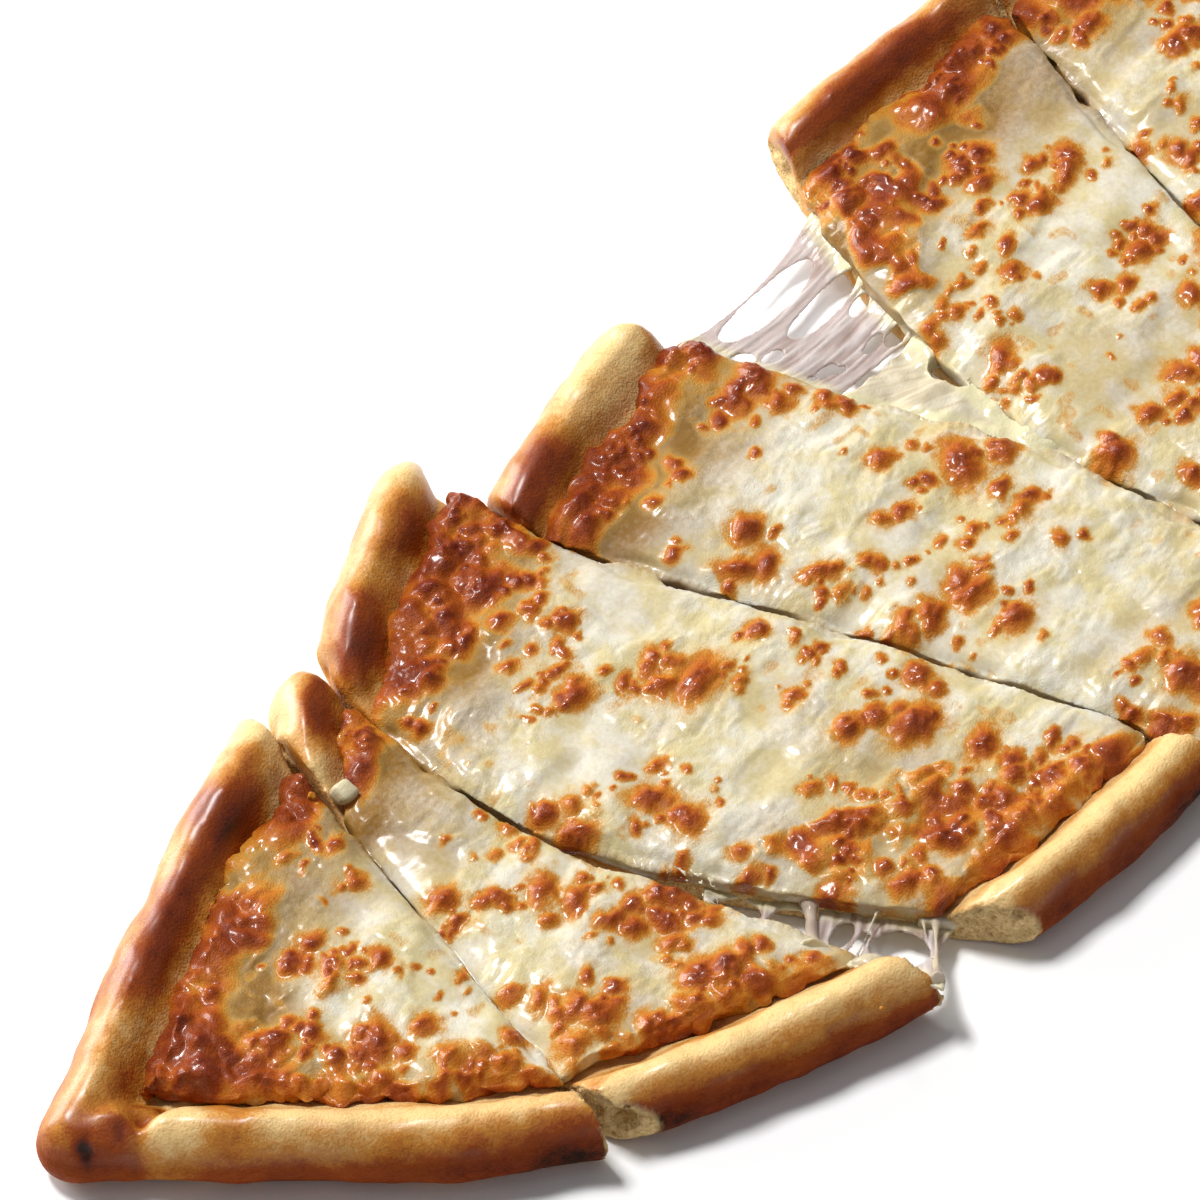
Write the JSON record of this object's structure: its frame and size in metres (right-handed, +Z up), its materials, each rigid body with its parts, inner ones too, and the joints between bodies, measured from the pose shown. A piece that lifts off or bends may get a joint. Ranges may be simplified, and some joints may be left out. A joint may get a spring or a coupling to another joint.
{
  "type": "sliced cheese pide",
  "caption": "Long boat-shaped cheese pide with a rolled golden crust, cut across into slices that lie slightly apart, with melted cheese stretched over the open cuts.",
  "frame": {"origin": "middle of the whole pide, on the surface that its underside lies on", "axes": "+X along the pide from its first pointed end to its last, +Z up"},
  "size_m": [0.4188, 0.1542, 0.0138],
  "materials": {
    "dough": "baked bread dough, golden brown and lightly glossy on the crust, pale crumb at the cuts",
    "cheese": "melted cheese, creamy yellow-white and glossy, with browned blisters",
    "stretched": "drawn-out melted cheese, thin, pale and slightly translucent"
  },
  "bodies": {
    "root": {"slice_1_dough": "dough", "slice_1_cheese": "cheese", "slice_2_dough": "dough", "slice_2_cheese": "cheese", "slice_3_dough": "dough", "slice_3_cheese": "cheese", "slice_4_dough": "dough", "slice_4_cheese": "cheese", "slice_5_dough": "dough", "slice_5_cheese": "cheese", "slice_6_dough": "dough", "slice_6_cheese": "cheese", "slice_7_dough": "dough", "slice_7_cheese": "cheese", "slice_8_dough": "dough", "slice_8_cheese": "cheese", "cheese_strand_1": "stretched", "cheese_strand_2": "stretched", "cheese_strand_3": "stretched", "cheese_strand_4": "stretched", "cheese_web": "stretched", "cheese_bridge": "stretched"}
  },
  "joints": []
}
